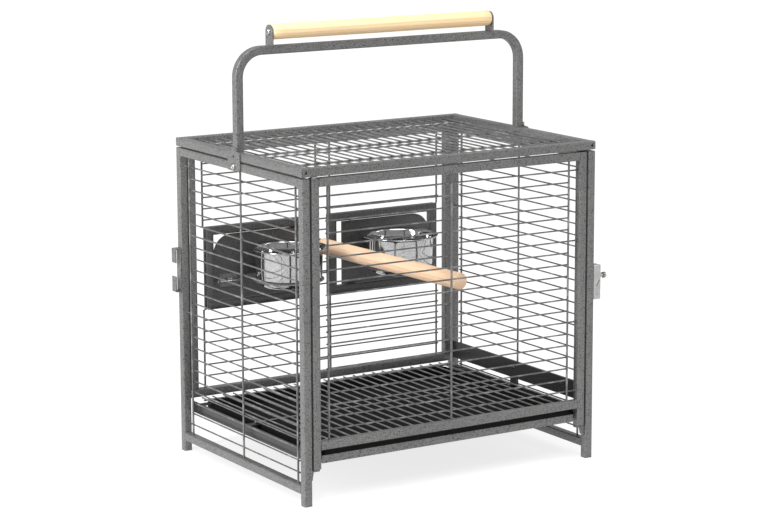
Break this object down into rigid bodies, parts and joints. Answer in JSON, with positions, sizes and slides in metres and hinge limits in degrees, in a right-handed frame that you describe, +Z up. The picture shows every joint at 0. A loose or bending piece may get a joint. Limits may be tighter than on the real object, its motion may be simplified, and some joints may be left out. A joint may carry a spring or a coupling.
{
  "type": "bird travel carrier cage",
  "caption": "Small box cage of square tube and wire with a front door, swing-out bowl doors at the back, slide-out tray, lift-out grate, perch and carrying handle with a wooden grip",
  "frame": {"origin": "under the middle of the bounding box, on the floor the feet stand on", "axes": "+Z up through the carrying handle, front door towards -Y, +X to the right seen from the front"},
  "size_m": [0.514, 0.368, 0.6355],
  "materials": {
    "frame_coat": "grey hammertone powder coat",
    "wire_coat": "grey powder coat on thin wire",
    "sheet_coat": "dark grey powder coat on sheet",
    "tray_black": "black coated sheet",
    "zinc": "bright zinc plate",
    "stainless": "polished stainless steel",
    "pine": "pale bare softwood"
  },
  "bodies": {
    "cage_frame": {"left_front_post": "frame_coat", "left_back_post": "frame_coat", "right_front_post": "frame_coat", "right_back_post": "frame_coat", "left_top_rail": "frame_coat", "left_bottom_rail": "frame_coat", "right_top_rail": "frame_coat", "right_bottom_rail": "frame_coat", "left_side_wires": "wire_coat", "right_side_wires": "wire_coat", "lid_front_rail": "frame_coat", "lid_back_rail": "frame_coat", "lid_left_rail": "frame_coat", "lid_right_rail": "frame_coat", "lid_wires": "wire_coat", "back_left_stile": "frame_coat", "back_right_stile": "frame_coat", "back_top_rail": "frame_coat", "back_bottom_rail": "frame_coat", "back_upper_wires": "wire_coat", "back_lower_wires": "wire_coat", "back_middle_wires": "wire_coat", "left_feeder_frame": "sheet_coat", "right_feeder_frame": "sheet_coat", "left_feeder_upper_pin": "zinc", "left_feeder_lower_pin": "zinc", "right_feeder_upper_pin": "zinc", "right_feeder_lower_pin": "zinc", "left_tray_guide": "frame_coat", "right_tray_guide": "frame_coat", "seed_guard": "frame_coat", "door_upper_pin": "zinc", "door_pivot_tab": "frame_coat", "door_rest_tab": "frame_coat", "perch": "pine", "perch_screw": "zinc", "carry_handle": "frame_coat", "handle_grip": "pine", "left_grip_screw": "zinc", "right_grip_screw": "zinc", "left_handle_bolt": "zinc", "right_handle_bolt": "zinc", "belt_guide": "frame_coat", "latch_housing": "zinc", "latch_spring": "zinc"},
    "front_door": {"door_left_stile": "frame_coat", "door_right_stile": "frame_coat", "door_top_rail": "frame_coat", "door_sill": "frame_coat", "door_wires": "wire_coat"},
    "door_latch": {"latch_pin": "zinc"},
    "slide_tray": {"tray": "tray_black"},
    "lift_grate": {"floor_grate": "wire_coat"},
    "left_flap": {"left_feeder_flap": "sheet_coat"},
    "right_flap": {"right_feeder_flap": "sheet_coat"},
    "left_bolt": {"left_feeder_bolt": "zinc"},
    "right_bolt": {"right_feeder_bolt": "zinc"},
    "left_cup": {"left_bowl": "stainless"},
    "right_cup": {"right_bowl": "stainless"}
  },
  "joints": [
    {"name": "front_door_hinge", "type": "hinge", "parent": "cage_frame", "child": "front_door", "pos_m": [-0.2264, -0.178, 0.25], "axis": [0, 0, -1], "range_deg": [0, 105]},
    {"name": "door_latch_slide", "type": "slide", "parent": "cage_frame", "child": "door_latch", "axis": [-1, 0, 0], "range_m": [0, 0.0065]},
    {"name": "tray_slide", "type": "slide", "parent": "cage_frame", "child": "slide_tray", "axis": [0, -1, 0], "range_m": [0, 0.3]},
    {"name": "grate_lift", "type": "slide", "parent": "cage_frame", "child": "lift_grate", "axis": [0, 0, 1], "range_m": [0, 0.1]},
    {"name": "left_flap_hinge", "type": "hinge", "parent": "cage_frame", "child": "left_flap", "pos_m": [-0.055, 0.171, 0.262], "axis": [0, 0, -1], "range_deg": [0, 95]},
    {"name": "right_flap_hinge", "type": "hinge", "parent": "cage_frame", "child": "right_flap", "pos_m": [0.041, 0.171, 0.262], "axis": [0, 0, 1], "range_deg": [0, 95]},
    {"name": "left_bolt_slide", "type": "slide", "parent": "left_flap", "child": "left_bolt", "axis": [-1, 0, 0], "range_m": [0, 0.012]},
    {"name": "right_bolt_slide", "type": "slide", "parent": "right_flap", "child": "right_bolt", "axis": [1, 0, 0], "range_m": [0, 0.012]},
    {"name": "left_bowl_lift", "type": "slide", "parent": "left_flap", "child": "left_cup", "axis": [0, 0, 1], "range_m": [0, 0.06]},
    {"name": "right_bowl_lift", "type": "slide", "parent": "right_flap", "child": "right_cup", "axis": [0, 0, 1], "range_m": [0, 0.06]}
  ]
}
